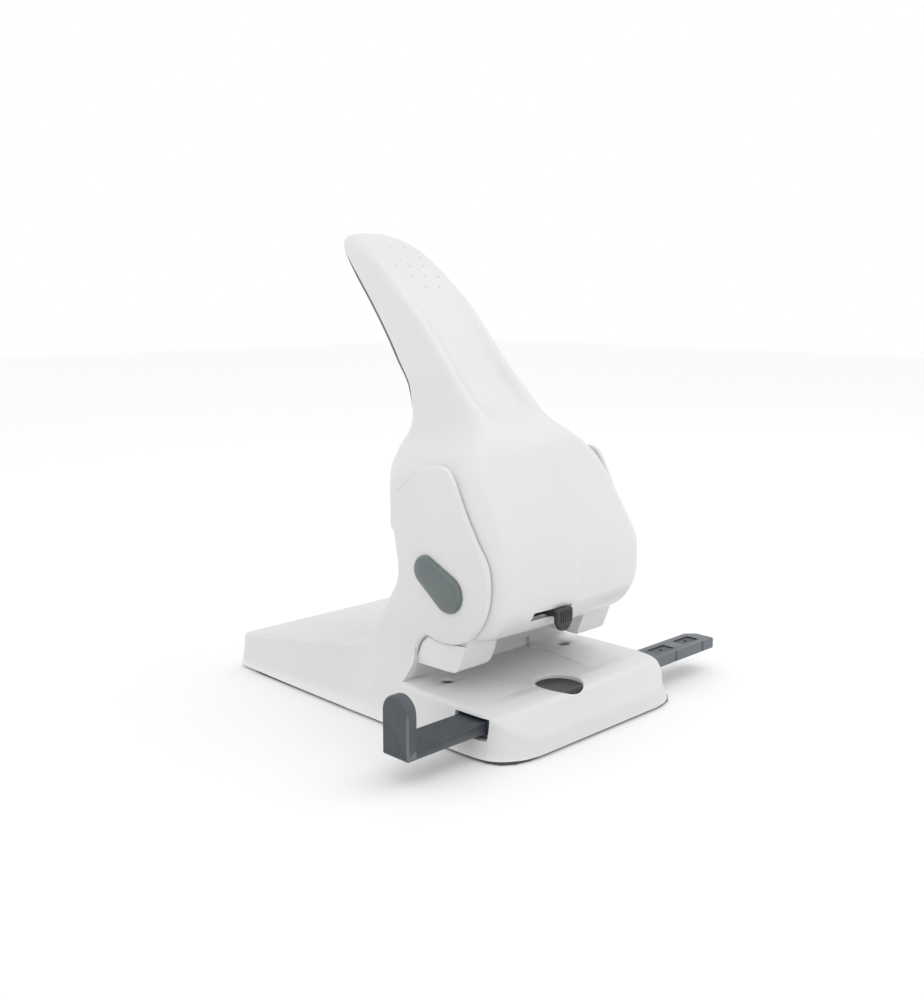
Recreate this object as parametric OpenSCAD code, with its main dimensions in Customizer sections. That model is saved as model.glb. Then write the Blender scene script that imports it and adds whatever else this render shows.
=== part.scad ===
// Heavy-duty two-hole punch with a long raised handle, millimetres, +Z up.
// Origin: on the table, under the point midway between the two die holes.
// -Y is the paper side, +X is to the right when the paper side is faced.

/* [Punching] */
// distance between the two punched holes
hole_spacing = 80; // [70:1:110]
// diameter of each punch pin
pin_diameter = 6; // [4:0.5:8]
// height of the platform that carries the dies
platform_height = 20; // [18:0.5:24]
// height of the gap the paper goes into
throat_height = 8.6; // [6:0.1:10]
// distance from the pins back to the wall that stops the paper
throat_depth = 12.9; // [10:0.1:14]

/* [Body] */
// overall width of the base
body_width = 126; // [120:1:132]
// distance from the pins to the front edge
body_front = 57.5; // [55:0.5:62]
// distance from the pins to the back edge
body_rear = 134.5; // [125:0.5:145]
// half of the width across the cheeks
cheek_half_width = 51.7; // [51:0.1:54]
// wall thickness of the moulded shell
shell_wall = 2.4; // [2:0.1:3]

/* [Lever] */
// how far in front of the pins the pivot shaft is
pivot_forward = 16; // [15:0.5:17]
// height of the pivot shaft above the table
pivot_height = 65; // [64:0.5:67]
// pivot shaft diameter
shaft_diameter = 8; // [6:0.5:9]
// angle of the whole handle stroke
stroke_angle = 50; // [30:1:52]
// wall thickness of the head cover
cover_wall = 2.6; // [2:0.1:3]

/* [Paper guide] */
// width of the sliding guide bar
bar_width = 15.3; // [12:0.1:16]
// thickness of the sliding guide bar
bar_thickness = 5.6; // [4:0.1:6]
// distance from the pins to the front of the bar
bar_front = 41; // [38:0.5:43]
// how far the end stop reaches to the left
stop_left = 101.2; // [90:0.1:110]
// how far the free end reaches to the right
bar_right = 111.6; // [100:0.1:120]

/* [Details] */
// diameter of the paper size window
window_diameter = 22; // [16:0.5:24]
// length of the slot the lock moves in
lock_slot_length = 24; // [18:0.5:26]
// turns of each return spring
spring_turns = 4; // [3:1:5]

/* [Hidden] */
$fn = 48;

half_w = body_width / 2;
pin_r = pin_diameter / 2;
shaft_r = shaft_diameter / 2;
die_x = hole_spacing / 2;
z_die = platform_height;
z_throat = z_die + throat_height;
shell_low = 1.4;
py = -pivot_forward;
pz = pivot_height;
half_stroke = stroke_angle / 2;
press_r = 4;
press_y = py + pivot_forward * cos(half_stroke);
press_z = pz + pivot_forward * sin(half_stroke);
pin_travel = 2 * pivot_forward * sin(half_stroke);
pin_top = press_z - press_r - 0.3;
pin_tip = z_throat + 1.9;
bracket_top = 46;
cheek_in = 49;
upright_in = 49.05;
upright_out = 50.2;
clip_x = 42.1;
arm_in = 44.5;
arm_out = 45.9;
crossbar_y = 12;
crossbar_back = 17.6;
bar_y0 = -bar_front;
bar_y1 = -bar_front + bar_width;
bar_z0 = 10.7;
bar_z1 = bar_z0 + bar_thickness;
detent_x = 49.5;
hinge_y = 125;
hinge_z = 3;
tray_low = 0.4;
pan_half_w = 53.2;
feet = [[0, 0], [48, -40], [-48, -40], [48, 104], [-48, 104]];
plate_low = 7;
plate_top = 8.4;
// screws of the steel plate, as [x, y, top of the boss]
plate_screws = [[41, 62, 21.5], [44, 104, 18.8], [30, -48.4, 13]];
bracket_screw_x = [-45.6, -34.2, 34.2, 45.6];
wall_y = 9;
window_x = -5.3;
window_y = -36.3;
lock_x = -10.6;
tongue_tilt = -39;
grip_low = 133.5;
// depth of the grip insert along the handle, as [z, depth]
grip_depths = [[grip_low, 1], [142, 3.6], [152, 5], [168, 5.6], [200, 5.6], [210, 4.2], [214.5, 2.4]];
grip_screw_z = [152, 190];
frame_screw_at = [[-20, 92], [2, 100]];

white = [0.93, 0.93, 0.925];
slate = [0.36, 0.39, 0.40];
black = [0.12, 0.12, 0.13];
steel = [0.62, 0.63, 0.65];
smoke = [0.5, 0.5, 0.52, 0.35];

// side outline of the cheeks and the riser behind the throat, as [y, z]
cheek_outline = [
    [throat_depth + 0.4, z_die - 2], [throat_depth, z_die], [wall_y, z_throat], [wall_y, 33], [6.6, 39],
    [1.9, 42.9], [-3.6, 41.8], [-10, 41.6], [-16.8, 42.6], [-23.5, 45.4], [-29.5, 51], [-33.6, 57.6],
    [-35.8, 65.4], [-36.1, 73], [-34.6, 80.5], [-28.8, 89.2], [-22.8, 98.8], [-18.1, 107.4],
    [-14.5, 114.4], [-11.6, 118], [-8.1, 119.5], [-2.4, 119.4], [3.5, 117.8], [11.8, 111.7],
    [18.9, 106.5], [22.3, 103.7], [23.5, 101.1], [23.7, 96.7], [23.3, 88.7], [22.1, 80.6],
    [20.8, 74.5], [20.5, 68.9], [21.9, 63.3], [25.3, 57.7], [30, 50.3], [35.1, 43.6], [41.1, 37],
    [44, 33], [44, 16], [throat_depth + 0.4, 16]];

// plan stations of the base, as [y, half width at the bottom, half width of the top, top height]
platform_rows = [
    [-body_front, half_w - 22, half_w - 28, 9.4], [1.2 - body_front, half_w - 15, half_w - 20.5, 10.3],
    [3.4 - body_front, half_w - 10, half_w - 14.8, 11.6], [6 - body_front, half_w - 6.2, half_w - 10.6, 13.6],
    [9 - body_front, half_w - 3.4, half_w - 7.6, 16.3], [13 - body_front, half_w - 1.5, half_w - 5.4, 18.6],
    [19 - body_front, half_w - 0.4, half_w - 4.5, 19.6], [-30, half_w, half_w - 4.2, 19.95],
    [-18, half_w + 0.2, half_w - 4.2, 20], [0, half_w + 0.3, half_w - 4.6, 20],
    [18, half_w + 0.3, half_w - 8, 20]];
rear_rows = [
    [5, half_w + 0.3, 51.7, 40], [33, half_w + 0.3, 51.5, 40], [37, half_w + 0.3, 50.4, 38.4],
    [42, half_w + 0.3, 48.6, 34.8], [48, half_w + 0.2, 46.8, 31], [55, half_w + 0.1, 45.8, 27.8],
    [63, half_w, 45.8, 25.4], [73, half_w - 0.1, 46.8, 23.7], [86, half_w - 0.3, 49.6, 22.2],
    [100, half_w - 0.6, 53, 21.1], [114, half_w - 0.9, 56.6, 20], [124, half_w - 1.1, 58.8, 19.1],
    [body_rear - 4, half_w - 1.4, 59.4, 18.4], [body_rear - 1.4, half_w - 2, 58.9, 17.7],
    [body_rear, half_w - 3.6, 57, 16]];

// stations of the head and handle, as [z, front y, back y, half width, front corner, back corner, bow]
cover_rows = [
    [45.6, -29.6, 30, 47.6, 7, 3, -1.6], [47, -31.4, 30, 48.4, 7, 3, -1.8], [50, -34.6, 30, 48.6, 7, 3, -2],
    [54, -37.6, 30, 48.6, 7.5, 3, -2.1], [60, -40.6, 30, 48.6, 8, 3, -2.2], [67, -42, 30, 48.6, 8.5, 3, -2.2],
    [75, -42.2, 30, 48.6, 9, 3, -2.2], [81, -41, 30, 48.6, 9.5, 3, -2.2], [88, -37.6, 30.2, 48.6, 10, 3, -2.2],
    [96, -32.6, 30.8, 48.6, 10.5, 4, -2.1], [104, -27.4, 31.6, 48.6, 11, 5, -2], [111, -22.8, 32.6, 48.5, 12, 7, -1.8],
    [116, -19.8, 33.6, 47.6, 13, 9, -1.4], [120, -17.4, 34.6, 45.4, 14, 11, -1], [124, -15, 36, 42, 14, 12, -0.5],
    [128, -11.8, 37.4, 36.6, 13, 12, 0], [132, -7.4, 39, 31.4, 11, 10, 0.5], [137, -1.6, 41.4, 27, 9, 8, 0.9],
    [143, 4.4, 44.6, 24.4, 8, 7, 1.2], [151, 12.4, 48.6, 23, 7, 6.5, 1.3], [160, 20.8, 55.6, 22.4, 7, 6.5, 1.3],
    [170, 29.8, 62.4, 22.2, 7, 6.5, 1.2], [180, 38.8, 69.6, 22.2, 7, 6.5, 1.1], [190, 49, 77.4, 22.2, 7, 6.5, 1],
    [199, 59.2, 84.8, 22.2, 7, 6.5, 0.8], [206, 68, 90.6, 22, 7, 7, 0.6], [211, 75.2, 94.8, 21.2, 7, 7, 0.3],
    [215, 81.4, 98.4, 19.6, 7, 7, 0.1], [218, 87, 100.8, 17, 6.6, 6.6, 0], [220.2, 92, 101.6, 13, 4.6, 4.6, 0],
    [221.4, 95.6, 100.4, 7.4, 2.2, 2.2, 0]];

function last(v) = v[len(v) - 1];
function mix(a, b, t) = a * (1 - t) + b * t;

// row of a table at any position, by straight interpolation on its first value
function row_at(rows, v, i = 0) =
    v <= rows[0][0] ? rows[0] : i >= len(rows) - 2 ?
    mix(rows[i], rows[i + 1], min(1, (v - rows[i][0]) / (rows[i + 1][0] - rows[i][0]))) :
    v <= rows[i + 1][0] ? mix(rows[i], rows[i + 1], (v - rows[i][0]) / (rows[i + 1][0] - rows[i][0])) :
    row_at(rows, v, i + 1);

// closed section of the base at one station, drafted sides and rounded top edges
function base_ring(y, wb, wt, low, top, flare = 1.5) =
    let (edge = min(2.2, (top - low) / 3), half = [
            for (t = [0, 0.3, 0.6, 0.85]) [wt + (wb - wt) * pow(1 - t, flare), low + (top - edge - low) * t],
            [wt - 0.25 * edge, top - 0.35 * edge], [wt - edge, top]])
    concat([for (p = half) [-p[0], y, p[1]]],
           [for (i = [len(half) - 1:-1:0]) [half[i][0], y, half[i][1]]]);

// closed section of the head or handle at one height, corners rounded and front bowed
function cover_ring(z, yf, yb, w, rf, rb, bow) =
    let (a = min(rf, w * 0.9, (yb - yf) * 0.48), b = min(rb, w * 0.9, (yb - yf) * 0.48))
    concat(
        [for (t = [-0.6, -0.2, 0.2, 0.6]) [(w - a) * t, yf + bow * (1 - t * t), z]],
        [for (k = [0:3]) [w - a + a * sin(k * 30), yf + a - a * cos(k * 30), z]],
        [for (k = [0:3]) [w - b + b * cos(k * 30), yb - b + b * sin(k * 30), z]],
        [for (k = [0:3]) [-w + b - b * sin(k * 30), yb - b + b * cos(k * 30), z]],
        [for (k = [0:3]) [-w + a - a * cos(k * 30), yf + a - a * sin(k * 30), z]]);

function grip_depth(z) = row_at(grip_depths, z)[1];

// closed section of the grip insert: the back of the handle, cut off at that depth
function grip_ring(z, depth) =
    let (r = row_at(cover_rows, z), b = min(r[5], r[3] * 0.9, (r[2] - r[1]) * 0.48), w = r[3],
         a = acos(max(0, 1 - depth / b)))
    concat([for (k = [0:5]) let (t = a * (1 - k / 5)) [w - b + b * sin(t), r[2] - b + b * cos(t), z]],
           [for (k = [0:5]) let (t = a * k / 5) [-w + b - b * sin(t), r[2] - b + b * cos(t), z]]);

// how far the tongue of the lever is from the back of the handle
function tongue_gap(z) =
    (row_at(cover_rows, z)[2] + 6) * cos(tongue_tilt) + (z - 105) * sin(tongue_tilt);

// solid through a list of rings that all have the same number of points
module loft(rings) {
    n = len(rings[0]);
    m = len(rings);
    polyhedron(
        points = [for (r = rings) for (p = r) p],
        faces = concat(
            [[for (i = [0:n - 1]) i]],
            [for (j = [0:m - 2]) for (i = [0:n - 1])
                [j * n + i, (j + 1) * n + i, (j + 1) * n + (i + 1) % n]],
            [for (j = [0:m - 2]) for (i = [0:n - 1])
                [j * n + i, (j + 1) * n + (i + 1) % n, j * n + (i + 1) % n]],
            [[for (i = [n - 1:-1:0]) (m - 1) * n + i]]),
        convexity = 6);
}

// outline given as [y, z], made solid between two x positions
module side_plate(x0, x1, outline) {
    translate([x0, 0, 0]) rotate([90, 0, 90]) linear_extrude(height = x1 - x0) polygon(outline);
}

// cylinder along X
module rod_x(x0, x1, r, y, z, fn = 48) {
    translate([x0, y, z]) rotate([0, 90, 0]) cylinder(r = r, h = x1 - x0, $fn = fn);
}

// outline round two lobes of different size, as [y, z]
function lobe_outline(c1, r1, c2, r2, n = 14) =
    let (d = c2 - c1, a = atan2(d[1], d[0]), b = acos((r1 - r2) / norm(d)))
    concat([for (i = [0:n]) let (t = a + b + (360 - 2 * b) * i / n) c1 + r1 * [cos(t), sin(t)]],
           [for (i = [0:n]) let (t = a - b + 2 * b * i / n) c2 + r2 * [cos(t), sin(t)]]);

module lobed_plate(x0, x1, c1, r1, c2, r2) {
    side_plate(x0, x1, lobe_outline(c1, r1, c2, r2));
}

// places a screw on the back of the handle, square to the tongue
module grip_axis(z) {
    translate([0, row_at(cover_rows, z)[2], z]) rotate([90 + tongue_tilt, 0, 0]) children();
}

module mirrored() {
    children();
    mirror([1, 0, 0]) children();
}

module rows_loft(rows, inset, low) {
    loft([for (r = rows) base_ring(r[0], r[1] - inset, r[2] - inset, low, r[3] - inset * 0.92)]);
}

// cap outline centres
cap_low = [-12.8, 64.7];
cap_high = [1.2, 73];

// The shell and the head cover are mouldings whose whole skin is curved, so each is one fine mesh.
module base_shell() color(white) resize([0, 0, 0]) difference() {
    $fn = 32;
    union() {
        difference() {
            union() {
                rows_loft(platform_rows, 0, shell_low);
                difference() {
                    rows_loft(rear_rows, 0, shell_low);
                    side_plate(-80, 80, [[-5, z_die + 0.01], [throat_depth, z_die + 0.01], [wall_y, z_throat],
                                         [wall_y, 60], [-5, 60]]);
                }
                mirrored() side_plate(cheek_in, cheek_half_width, cheek_outline);
            }
            // hollow under the platform and the rear deck
            loft([for (y = [-54.6, -53, -50, -46, -40, -30, -18, 0, 12])
                let (r = row_at(platform_rows, y))
                base_ring(y, r[1] - shell_wall, r[2] - shell_wall, -1, min(r[3] - 2.2, 17.8))]);
            loft([for (y = [9.8, 15.2, 15.5, 30, 34, 40, 46, 53, 61, 72, 86, 100, 114, 124, body_rear - 4,
                            body_rear - 2.5])
                let (r = row_at(rear_rows, y), lip = y < 15.4 ? 17.8 : r[3] - 2.4)
                base_ring(y, r[1] - shell_wall, r[2] - shell_wall, -1, lip)]);
        }
        // bosses for the screws of the steel plate
        for (p = plate_screws) mirrored() translate([p[0], p[1], plate_top + 0.05])
            cylinder(r = 3.4, h = p[2] - plate_top);
    }
    for (p = plate_screws) mirrored() translate([p[0], p[1], 5]) cylinder(r = 1.65, h = p[2] - 6.5);
    // pocket for the steel crossbar
    translate([-cheek_in, crossbar_y - 0.1, 30.3]) cube([2 * cheek_in, 7, 7]);
    // pockets for the steel uprights
    mirrored() side_plate(cheek_in - 1, upright_out + 0.05, [
        [16, 5], [16, 22], [13, 30], [12, 39], [4, 46.6], [-16, 46.8], [-26.6, 54.4], [-29.8, 68.6],
        [-28.2, 78.6], [-15.8, 100.6], [-8, 109.4], [2, 109], [16.8, 98], [17, 82.6], [14.2, 70.6],
        [16.4, 62.6], [22.4, 53.6], [32.4, 38], [38, 28], [41, 20], [41, 5]]);
    // holes behind the side caps
    mirrored() lobed_plate(upright_in, cheek_half_width + 1, cap_low, 6.6, cap_high, 4.8);
    // die holes and the seat of the die plate
    mirrored() translate([die_x, 0, 10]) cylinder(r = pin_r + 0.3, h = 20);
    translate([-56, -9.2, 5]) cube([112, 18.4, z_die - 1.5 - 5]);
    // paper size window
    translate([window_x, window_y, 10]) cylinder(r = window_diameter / 2 + 0.05, h = 12);
    // openings for the guide bar
    translate([-half_w - 5, bar_y0 - 2.4, 8.4]) cube([body_width + 10, bar_width + 3.9, 9.3]);
    // shallow central panel of the platform
    translate([0, 0, z_die - 0.45]) linear_extrude(height = 3)
        polygon([[-31, 13], [31, 13], [21.5, -6], [17.5, -24], [14, -47], [-14, -47], [-17.5, -24], [-21.5, -6]]);
    // screw holes of the brackets
    for (x = bracket_screw_x) translate([x, 20, 34]) rotate([90, 0, 0]) cylinder(r = 1.7, h = 13);
    // clearance for the hinge pins
    mirrored() rod_x(46, half_w - 1.2, 1.25, hinge_y, hinge_z, 32);
}

module base_plate() color(steel) difference() {
    union() {
        translate([-48, -51, plate_low]) cube([96, 10, plate_top - plate_low]);
        translate([-55, -44, plate_low]) cube([110, 55, plate_top - plate_low]);
        translate([-53, 10, plate_low]) cube([106, 32, plate_top - plate_low]);
        translate([-49.6, 40, plate_low]) cube([99.2, 78, plate_top - plate_low]);
    }
    mirrored() translate([die_x, 0, 0]) cylinder(r = 4.6, h = 20);
    for (p = plate_screws) mirrored() translate([p[0], p[1], 0]) cylinder(r = 1.7, h = 20);
}

module die_plate() color(steel) difference() {
    translate([-54, -8.8, z_die - 4.5]) cube([108, 17.6, 2.9]);
    mirrored() translate([die_x, 0, 0]) cylinder(r = pin_r + 0.05, h = 30);
}

module die_supports() color(steel) mirrored() difference() {
    translate([die_x, 0, plate_top + 0.05]) cylinder(r = 7, h = z_die - 4.6 - plate_top);
    translate([die_x, 0, 0]) cylinder(r = 4.6, h = 30);
}

module upright() difference() {
    side_plate(upright_in, upright_out, [
        [17, plate_top + 0.05], [40, plate_top + 0.05], [40, 18], [36.5, 27], [30.8, 36.6], [19.2, 52.6],
        [13.6, 62.6], [12.8, 72.6], [14.8, 84.6], [12.2, 96.6], [0.2, 104.6], [-7.8, 104.6],
        [-14.8, 97.6], [-25.8, 78.6], [-27.2, 68.6], [-24.2, 56.6], [-15, 49], [5, 48.8], [14.2, 41],
        [15.6, 30.2], [17, 24]]);
    rod_x(upright_in - 1, upright_out + 1, shaft_r + 0.02, py, pz);
    rod_x(upright_in - 1, upright_out + 1, 5, -2, 91);
}
module right_upright() color(steel) upright();
module left_upright() color(steel) mirror([1, 0, 0]) upright();

module crossbar() color(steel) difference() {
    translate([-upright_in + 0.05, crossbar_y, 30.4]) cube([2 * upright_in - 0.1, crossbar_back - crossbar_y, 6.8]);
    for (x = bracket_screw_x) translate([x, 20, 34]) rotate([90, 0, 0]) cylinder(r = 1.65, h = 15);
}

module bracket() difference() {
    union() {
        side_plate(30, 50, [
            [8.8, 28.7], [-10, 29], [-14.6, 29.3], [-16.9, 30.8], [-19.6, 37], [-21.3, 42.4], [-17.4, 42.1],
            [-10, 41.2], [-3.6, 41.2], [1.7, 42.2], [6, 38.6], [8.4, 33]]);
        side_plate(30, 48.8, [
            [8.8, 28.7], [-10, 29], [-14.6, 29.3], [-16.9, 30.8], [-19.6, 37], [-21.3, 42.4],
            [-22, bracket_top], [8.8, bracket_top]]);
    }
    translate([die_x, 0, 20]) cylinder(r = pin_r + 0.03, h = 40);
    for (x = [34.2, 45.6]) translate([x, 10, 34]) rotate([90, 0, 0]) cylinder(r = 1.6, h = 13);
    // rounded lower inner corner
    difference() {
        translate([29, -40, 27.8]) cube([6, 60, 6]);
        translate([35, 30, 33.8]) rotate([90, 0, 0]) cylinder(r = 5, h = 80);
    }
}
module right_bracket() color(white) bracket();
module left_bracket() color(white) mirror([1, 0, 0]) bracket();

module bracket_screws() color(steel) for (x = bracket_screw_x)
    translate([x, 0, 34]) rotate([-90, 0, 0]) difference() {
        union() {
            translate([0, 0, -2.6]) cylinder(r = 1.55, h = crossbar_back + 2.7);
            translate([0, 0, crossbar_back + 0.05]) cylinder(r = 3, h = 2.2);
        }
        translate([0, 0, crossbar_back + 1.2]) cylinder(r = 1.3, h = 3, $fn = 6);
    }

module base_screws() color(steel) for (p = plate_screws) mirrored()
    translate([p[0], p[1], plate_low]) difference() {
        union() {
            translate([0, 0, -1.4]) cylinder(r = 3, h = 1.35);
            translate([0, 0, -0.2]) cylinder(r = 1.6, h = p[2] - plate_low - 2);
        }
        translate([0, 0, -2]) cylinder(r = 1.3, h = 1.5, $fn = 6);
    }

module pivot_shaft() color(steel) difference() {
    rod_x(-upright_out, upright_out, shaft_r, py, pz);
    mirrored() difference() {
        rod_x(clip_x, clip_x + 0.8, shaft_r + 1, py, pz);
        rod_x(clip_x - 1, clip_x + 2, shaft_r - 0.8, py, pz);
    }
}

module shaft_clips() color(black) mirrored() difference() {
    rod_x(clip_x + 0.05, clip_x + 0.75, 6.4, py, pz);
    rod_x(clip_x - 1, clip_x + 2, shaft_r - 0.75, py, pz);
    translate([clip_x - 1, py - 2, pz]) cube([4, 4, 8]);
}

module side_cap() difference() {
    union() {
        lobed_plate(cheek_half_width, cheek_half_width + 1.1, cap_low, 8.6, cap_high, 6.8);
        lobed_plate(cheek_half_width, cheek_half_width + 1.9, cap_low, 7.8, cap_high, 6);
        lobed_plate(cheek_half_width, cheek_half_width + 2.5, cap_low, 6.5, cap_high, 4.7);
        lobed_plate(upright_out + 0.1, cheek_half_width + 1, cap_low, 6.5, cap_high, 4.7);
    }
    lobed_plate(upright_out, cheek_half_width + 0.2, cap_low, 5.3, cap_high, 3.4);
}
module right_side_cap() color(slate) side_cap();
module left_side_cap() color(slate) mirror([1, 0, 0]) side_cap();

module window_lens() color(smoke)
    translate([window_x, window_y, z_die - 2.1]) cylinder(r = window_diameter / 2, h = 1.4);

module guide_channel() color(black) difference() {
    translate([-57, bar_y0 - 1.7, plate_top + 0.1]) cube([114, bar_width + 3.1, 8.9]);
    translate([-60, bar_y0 - 0.3, bar_z0 - 0.2]) cube([120, bar_width + 0.6, 12]);
    translate([detent_x - 5, bar_y0 - 4, bar_z0 - 0.2]) cube([10, 6, 12]);
}

module guide_detent() color(steel) {
    translate([detent_x - 6.5, bar_y0 - 2.3, bar_z0]) cube([13, 0.5, bar_thickness]);
    translate([detent_x - 0.4, bar_y0 - 2.2, bar_z0]) cube([0.8, 2, bar_thickness]);
}

module scale_strip() color([0.32, 0.12, 0.16])
    translate([-30, bar_y1 + 1.6, z_die - 5]) cube([52, 7.5, 1.2]);

module guide_bar() color([0.3, 0.33, 0.36]) difference() {
    union() {
        translate([-stop_left + 2, bar_y0, bar_z0]) cube([stop_left + bar_right - 2, bar_width, bar_thickness]);
        // upright end stop with a round top
        translate([-stop_left, bar_y0, bar_z0]) cube([5.2, bar_width, 18.4]);
        rod_x(-stop_left, -stop_left + 5.2, bar_width / 2, bar_y0 + bar_width / 2, bar_z0 + 18.4);
    }
    // label recesses on the free end
    translate([69, bar_y0 + 4, bar_z1 - 0.5]) cube([14, 7, 2]);
    translate([91, bar_y0 + 4, bar_z1 - 0.5]) cube([13, 7, 2]);
    // cut corner at the free end
    translate([bar_right, bar_y1 - 5, 0]) rotate([0, 0, 45]) cube([12, 12, 40]);
    // detent notches on the front edge
    for (x = [detent_x, detent_x + 9, detent_x + 29.5, detent_x + 52.5]) translate([x, bar_y0, 0]) cylinder(r = 0.9, h = 40, $fn = 24);
}

module tray_hinge_pins() color(steel) mirrored() rod_x(48, half_w - 2, 1.2, hinge_y, hinge_z, 32);

module rear_foot() color(black) difference() {
    translate([-56, 128.3, 0]) cube([112, 4.5, 1.35]);
    translate([-30, 127, 0.8]) cube([60, 4, 2]);
}

module chip_tray() color([0.2, 0.2, 0.21]) difference() {
    union() {
        translate([0, 0, tray_low]) linear_extrude(height = 0.8) polygon([
            [-46, -56], [46, -56], [53.4, -54.4], [58.6, -50.6], [60.8, -45.6], [61.6, -38], [61.6, 116],
            [60.6, hinge_y - 4], [-60.6, hinge_y - 4], [-61.6, 116], [-61.6, -38], [-60.8, -45.6],
            [-58.6, -50.6], [-53.4, -54.4]]);
        difference() {
            translate([-pan_half_w, -44.6, tray_low]) cube([2 * pan_half_w, 162.6, 5]);
            translate([1.8 - pan_half_w, -42.8, tray_low + 0.9]) cube([2 * pan_half_w - 3.6, 159, 10]);
        }
        mirrored() rod_x(51, 55, 2.3, hinge_y, hinge_z);
        mirrored() translate([51, 112, tray_low]) cube([4, hinge_y - 112, 3.6]);
    }
    mirrored() rod_x(48, 60, 1.25, hinge_y, hinge_z, 32);
    for (p = feet) translate([p[0], p[1], -1]) cylinder(r = 6.1, h = 1.9);
}

module tray_feet() color(black) for (p = feet) translate([p[0], p[1], 0]) cylinder(r = 6, h = 0.9);

module lock_catch() color(steel) difference() {
    union() {
        rod_x(-24, -17, shaft_r + 2.2, py, pz);
        translate([-24, py - 15.2, pz - 2.6]) cube([7, 13, 2.4]);
    }
    rod_x(-25, -16, shaft_r + 0.02, py, pz);
}

// round wire wound between two heights
module coil(z0, z1, turns, mean_r, wire_r, per_turn = 20, around = 8) {
    steps = turns * per_turn;
    rise = z1 - z0 - 2 * wire_r;
    loft([for (i = [0:steps])
        let (a = i * 360 / per_turn, h = z0 + wire_r + rise * i / steps)
        [for (k = [0:around - 1]) let (b = -k * 360 / around, q = mean_r + wire_r * cos(b))
            [q * cos(a), q * sin(a), h + wire_r * sin(b)]]]);
}
module left_spring() color(steel) translate([-die_x, 0, 0]) coil(bracket_top + 0.05, pin_top - 2.65, spring_turns, 3.8, 0.5);
module right_spring() color(steel) translate([die_x, 0, 0]) coil(bracket_top + 0.05, pin_top - 2.65, spring_turns, 3.8, 0.5);

module punch_pin() difference() {
    cylinder(r = pin_r, h = pin_top - pin_tip);
    translate([0, pin_r + 1, -1.6]) rotate([90, 0, 0]) cylinder(r = 2.4, h = 2 * pin_r + 2);
}
module left_punch_pin() color(steel) translate([-die_x, 0, pin_tip]) punch_pin();
module right_punch_pin() color(steel) translate([die_x, 0, pin_tip]) punch_pin();

module collar() difference() {
    union() {
        translate([0, 0, pin_top - 2.6]) cylinder(r = 4.3, h = 1.4);
        translate([0, 0, pin_top - 2.6]) cylinder(r = 3.8, h = 2.2);
    }
    cylinder(r = pin_r + 0.02, h = 100);
}
module left_collar() color(slate) translate([-die_x, 0, 0]) collar();
module right_collar() color(slate) translate([die_x, 0, 0]) collar();

module head_cover() color(white) resize([0, 0, 0]) difference() {
    loft([for (r = cover_rows) cover_ring(r[0], r[1], r[2], r[3], r[4], r[5], r[6])]);
    // hollow
    loft([for (z = [44, 47, 50, 54, 60, 67, 75, 81, 88, 96, 104, 110, 115, 119, 123, 127, 131, 136, 142, 150,
                    160, 170, 180, 190, 199, 206, 211])
        let (r = row_at(cover_rows, z), t = cover_wall)
        cover_ring(z, r[1] + t + (z > 100 ? 1 : 0.2), r[2] - t - 0.4, r[3] - t,
                   max(2, r[4] - t), max(2, r[5] - t), r[6])]);
    // seat of the grip insert
    loft([for (z = [grip_low, 137, 142, 147, 152, 160, 168, 180, 190, 200, 206, 210, 214.5])
        let (r = row_at(cover_rows, z)) cover_ring(z, r[2] - grip_depth(z), r[2] + 9, r[3] + 4, 1, 1, 0)]);
    // lower rear of the sides is cut away to clear the base through the stroke
    side_plate(-60, 60, [[-28.5, 40], [-28.5, 46.4], [-15, 46.6], [-13, 48.8], [-7, 51.6], [-1, 58], [2.4, 66.6], [12, 74.6], [34, 93],
                         [60, 93], [60, 40]]);
    // clearance around the pivot shaft
    mirrored() rod_x(44, 52, shaft_r + 0.3, py, pz);
    // slot for the lock
    translate([-27, -50, 52.6]) cube([lock_slot_length, 20, 4.2]);
    // screw holes
    for (p = frame_screw_at) mirrored() rod_x(44, arm_out + 1.7, 1.65, p[0], p[1], 24);
    // grip dots near the end of the handle
    for (q = [[-1, 3], [0, 4], [1, 3], [-2, 2], [2, 2]]) for (i = [0:q[1] - 1])
        let (x = (i - (q[1] - 1) / 2) * 8, z = 193.5 + q[0] * 5.4, r = row_at(cover_rows, z))
        translate([x, r[1] + r[6] - 0.9, z + 0.9]) sphere(r = 1.7, $fn = 16);
}

module grip_insert() color(slate) resize([0, 0, 0]) difference() {
    union() {
        loft([for (z = [grip_low + 0.2, 137, 142, 147, 152, 160, 168, 180, 190, 200, 206, 210, 214.2])
            grip_ring(z, grip_depth(z) - 0.1)]);
        for (z = grip_screw_z) grip_axis(z) translate([0, 0, 3]) cylinder(r = 4.2, h = tongue_gap(z) - 4.3);
    }
    for (z = grip_screw_z) grip_axis(z) {
        translate([0, 0, -1]) cylinder(r = 3.5, h = 3.6);
        translate([0, 0, -1]) cylinder(r = 2.1, h = 20);
    }
}

module arm() difference() {
    union() {
        rod_x(arm_in, arm_out, 9, py, pz);
        rod_x(arm_in, arm_out, 7, press_y, press_z);
        side_plate(arm_in, arm_out, [[py - 8.4, pz + 3], [-30, 84], [-21, 97], [-9, 106], [4, 108], [10, 100],
                                     [8, 82], [press_y + 7, press_z], [press_y + 4, press_z - 5.6], [py + 4, pz - 8]]);
    }
    rod_x(arm_in - 1, arm_out + 1, 5.8, py, pz);
    rod_x(arm_in - 1, arm_out + 1, press_r - 1, press_y, press_z);
    for (p = frame_screw_at) rod_x(arm_in - 1, arm_out + 1, 1.65, p[0], p[1], 24);
}

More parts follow.
